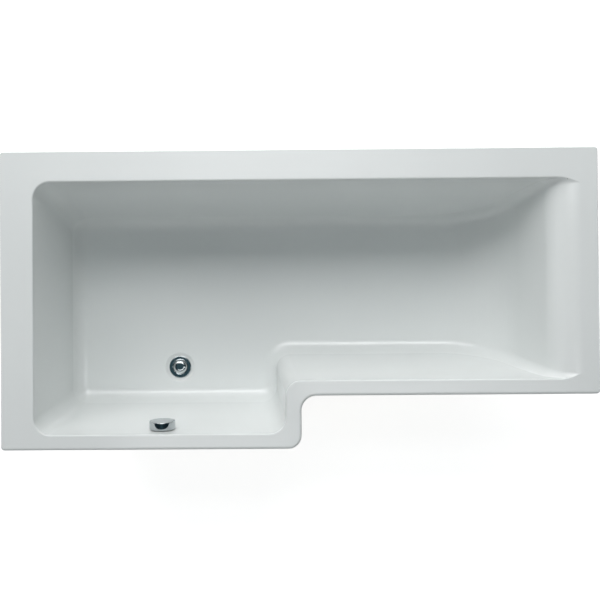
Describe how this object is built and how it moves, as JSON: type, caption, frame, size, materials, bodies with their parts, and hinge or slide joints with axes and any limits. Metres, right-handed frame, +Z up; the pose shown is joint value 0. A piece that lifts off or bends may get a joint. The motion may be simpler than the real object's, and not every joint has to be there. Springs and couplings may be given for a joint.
{
  "type": "bathtub",
  "caption": "L-shaped acrylic shower bath with a wide flat rim, a sloped backrest, an overflow knob that lifts the pop-up plug, and adjustable legs.",
  "frame": {"origin": "on the floor under the middle of the rim's outline", "axes": "+X from the tap end to the head end, +Y towards the wall behind the bath, +Z up"},
  "size_m": [1.7, 0.85, 0.55],
  "materials": {
    "white_acrylic": "high gloss",
    "glass_fibre": "rough sprayed",
    "chipboard": "raw",
    "timber": "raw",
    "zinc_steel": "zinc plated",
    "black_plastic": "satin",
    "chrome": "polished",
    "white_plastic": "satin",
    "grey_plastic": "satin",
    "rubber": "matte",
    "brass": "turned"
  },
  "bodies": {
    "bath": {"acrylic_shell": "white_acrylic", "grp_reinforcement": "glass_fibre", "baseboard": "chipboard", "leg_screws": "zinc_steel", "upper_lock_nuts": "zinc_steel", "lower_lock_nuts": "zinc_steel", "waste_flange": "chrome", "waste_top_seal": "rubber", "waste_under_seal": "rubber", "waste_body": "white_plastic", "lever_pin": "zinc_steel", "overflow_bush": "white_plastic", "overflow_seal": "rubber", "overflow_elbow": "white_plastic", "overflow_hose": "grey_plastic", "hose_nuts": "white_plastic", "release_cable": "black_plastic", "cable_ferrules": "brass", "rim_batten_back": "timber", "rim_batten_tap_end": "timber", "rim_batten_head_end": "timber", "rim_batten_front_wide": "timber", "rim_batten_step": "timber", "rim_batten_front_narrow": "timber", "leg_bar_tap": "zinc_steel", "leg_bar_middle": "zinc_steel", "leg_bar_head": "zinc_steel"},
    "plug": {"plug_cap": "chrome", "plug_stem": "brass", "plug_seal": "rubber"},
    "lever": {"lift_lever": "white_plastic"},
    "knob": {"overflow_knob": "chrome", "overflow_spindle": "brass", "overflow_crank": "white_plastic"},
    "foot_tap_front": {"adjuster_rod_tap_front": "zinc_steel", "foot_pad_tap_front": "black_plastic"},
    "foot_tap_back": {"adjuster_rod_tap_back": "zinc_steel", "foot_pad_tap_back": "black_plastic"},
    "foot_middle_front": {"adjuster_rod_middle_front": "zinc_steel", "foot_pad_middle_front": "black_plastic"},
    "foot_middle_back": {"adjuster_rod_middle_back": "zinc_steel", "foot_pad_middle_back": "black_plastic"},
    "foot_head_front": {"adjuster_rod_head_front": "zinc_steel", "foot_pad_head_front": "black_plastic"},
    "foot_head_back": {"adjuster_rod_head_back": "zinc_steel", "foot_pad_head_back": "black_plastic"}
  },
  "joints": [
    {"name": "knob_turn", "type": "hinge", "parent": "bath", "child": "knob", "pos_m": [-0.39888, -0.37381, 0.48], "axis": [0, 0.9931, 0.1172], "range_deg": [0, 100]},
    {"name": "plug_lift", "type": "slide", "parent": "bath", "child": "plug", "axis": [0, 0, 1], "range_m": [0, 0.01001]},
    {"name": "lever_tilt", "type": "hinge", "parent": "bath", "child": "lever", "pos_m": [-0.36588, -0.209, 0.1], "axis": [0, 1, 0], "range_deg": [0, 30.42]},
    {"name": "adjust_tap_front", "type": "slide", "parent": "bath", "child": "foot_tap_front", "axis": [0, 0, 1], "range_m": [-0.03, 0.02]},
    {"name": "adjust_tap_back", "type": "slide", "parent": "bath", "child": "foot_tap_back", "axis": [0, 0, 1], "range_m": [-0.03, 0.02]},
    {"name": "adjust_middle_front", "type": "slide", "parent": "bath", "child": "foot_middle_front", "axis": [0, 0, 1], "range_m": [-0.03, 0.02]},
    {"name": "adjust_middle_back", "type": "slide", "parent": "bath", "child": "foot_middle_back", "axis": [0, 0, 1], "range_m": [-0.03, 0.02]},
    {"name": "adjust_head_front", "type": "slide", "parent": "bath", "child": "foot_head_front", "axis": [0, 0, 1], "range_m": [-0.03, 0.02]},
    {"name": "adjust_head_back", "type": "slide", "parent": "bath", "child": "foot_head_back", "axis": [0, 0, 1], "range_m": [-0.03, 0.02]}
  ],
  "couplings": [
    {"joint": "plug_lift", "follows": "knob_turn", "m_per_rad": 0.0057296},
    {"joint": "lever_tilt", "follows": "knob_turn", "ratio": 0.304}
  ]
}
